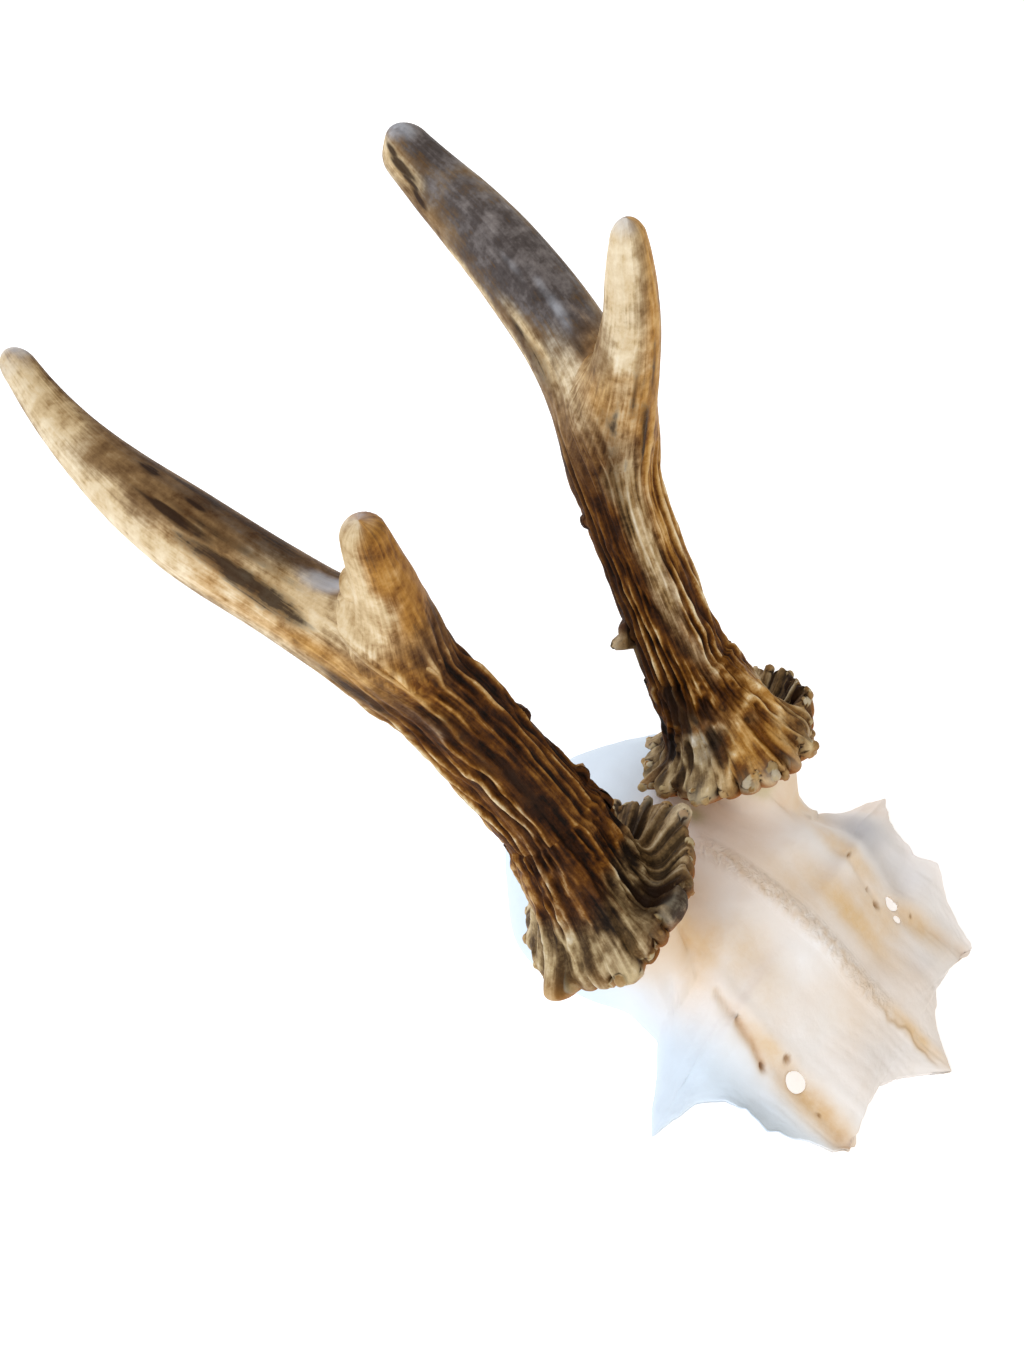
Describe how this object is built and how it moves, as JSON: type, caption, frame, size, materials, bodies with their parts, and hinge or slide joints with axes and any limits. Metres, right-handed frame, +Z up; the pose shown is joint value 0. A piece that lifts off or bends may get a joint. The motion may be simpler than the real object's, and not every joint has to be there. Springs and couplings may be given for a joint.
{
  "type": "roe deer skull mount",
  "caption": "Bleached frontal skull plate of a roe buck with both forked antlers, sawn flat to rest on a table or shelf.",
  "frame": {"origin": "middle of the bounding box's footprint, on the sawn rim plane that rests on the table", "axes": "+Z up away from the sawn rim, -Y towards the nose, +X towards the animal's left antler"},
  "size_m": [0.0964, 0.1687, 0.1318],
  "materials": {
    "bleached_bone": "matt, chalky, with warm stains in the grooves",
    "antler": "satin, dark brown in the grooves and polished tan on the ridges"
  },
  "bodies": {
    "root": {"skull_plate": "bleached_bone", "right_antler": "antler", "right_front_tine": "antler", "left_antler": "antler", "left_front_tine": "antler"}
  },
  "joints": []
}
